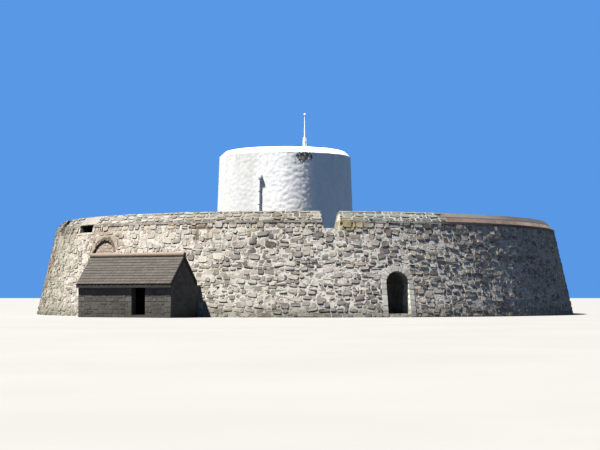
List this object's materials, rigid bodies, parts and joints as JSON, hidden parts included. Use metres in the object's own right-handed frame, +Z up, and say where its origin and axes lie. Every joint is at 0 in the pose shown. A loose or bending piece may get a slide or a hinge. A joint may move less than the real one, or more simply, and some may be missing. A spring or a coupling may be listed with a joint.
{
  "type": "martello tower in a round granite battery",
  "caption": "Small coastal fort: a white round tower inside a battered granite ring battery with gateway, embrasures, a walled-up arch and a lean-back stone guardhouse.",
  "frame": {"origin": "on the ground, on the axis of the round battery", "axes": "+Z up; -Y towards the land side with the gateway and the guardhouse; +X to the right seen from the land"},
  "size_m": [36.7998, 38.5942, 13.6],
  "materials": {
    "rubble_granite": "rough granite rubble with wide lime joints",
    "coping_granite": "dressed granite slabs, pinkish, with lichen",
    "arch_stone": "brown granite blocks",
    "paving": "worn granite flags",
    "limewash": "limewashed rubble",
    "plaster": "lime plaster inside the tower",
    "roof_slab": "stone slates, brown grey",
    "house_granite": "granite rubble",
    "iron": "weathered black paint",
    "grey_iron": "weathered grey paint",
    "white_paint": "white paint, weathered"
  },
  "bodies": {
    "root": {"rampart_1": "rubble_granite", "rampart_2": "rubble_granite", "rampart_3": "rubble_granite", "rampart_4": "rubble_granite", "gate_arch": "arch_stone", "walled_arch_surround": "arch_stone", "walled_arch_infill": "arch_stone", "loophole_lintel": "coping_granite", "parapet_1": "rubble_granite", "parapet_2": "rubble_granite", "parapet_3": "rubble_granite", "parapet_4": "rubble_granite", "parapet_5": "rubble_granite", "parapet_6": "rubble_granite", "coping_1": "coping_granite", "coping_2": "coping_granite", "coping_3": "coping_granite", "coping_4": "coping_granite", "coping_5": "coping_granite", "coping_6": "coping_granite", "courtyard_floor": "paving", "tower_wall_1": "limewash", "tower_wall_2": "limewash", "tower_wall_3": "limewash", "tower_wall_4": "limewash", "tower_door_arch": "limewash", "tower_floor": "paving", "tower_vault": "plaster", "tower_deck": "paving", "tower_parapet_1": "limewash", "tower_parapet_2": "limewash", "tower_parapet_3": "limewash", "downpipe": "grey_iron", "pipe_clips": "iron", "staff_tabernacle": "iron", "flagstaff": "white_paint", "guardhouse_front_wall": "house_granite", "guardhouse_lintel": "house_granite", "guardhouse_rear_wall": "house_granite", "guardhouse_left_gable": "house_granite", "guardhouse_right_gable": "house_granite", "guardhouse_floor": "paving", "guardhouse_front_roof": "roof_slab", "guardhouse_rear_roof": "roof_slab", "guardhouse_ridge": "roof_slab"}
  },
  "joints": []
}
